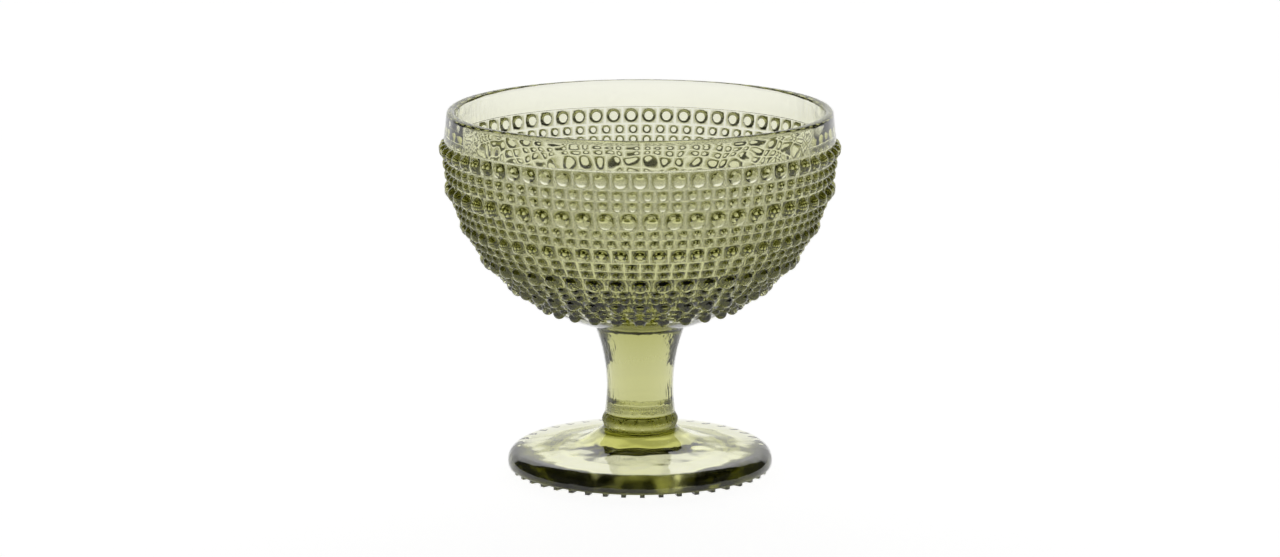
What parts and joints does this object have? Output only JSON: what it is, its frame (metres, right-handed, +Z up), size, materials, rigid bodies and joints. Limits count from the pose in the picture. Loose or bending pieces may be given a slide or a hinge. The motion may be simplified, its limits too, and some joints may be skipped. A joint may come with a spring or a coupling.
{
  "type": "ice cream glass",
  "caption": "Footed ice cream glass in olive green pressed glass: round bowl with rows of small beads, smooth rim band, waisted stem with a collar and a round foot.",
  "frame": {"origin": "centre of the surface that the foot stands on", "axes": "+Z up along the glass's own axis, out of the bowl's mouth"},
  "size_m": [0.1136, 0.1136, 0.1025],
  "materials": {
    "green_glass": "clear olive green pressed glass, smooth and fire polished"
  },
  "bodies": {
    "root": {"glass": "green_glass"}
  },
  "joints": []
}
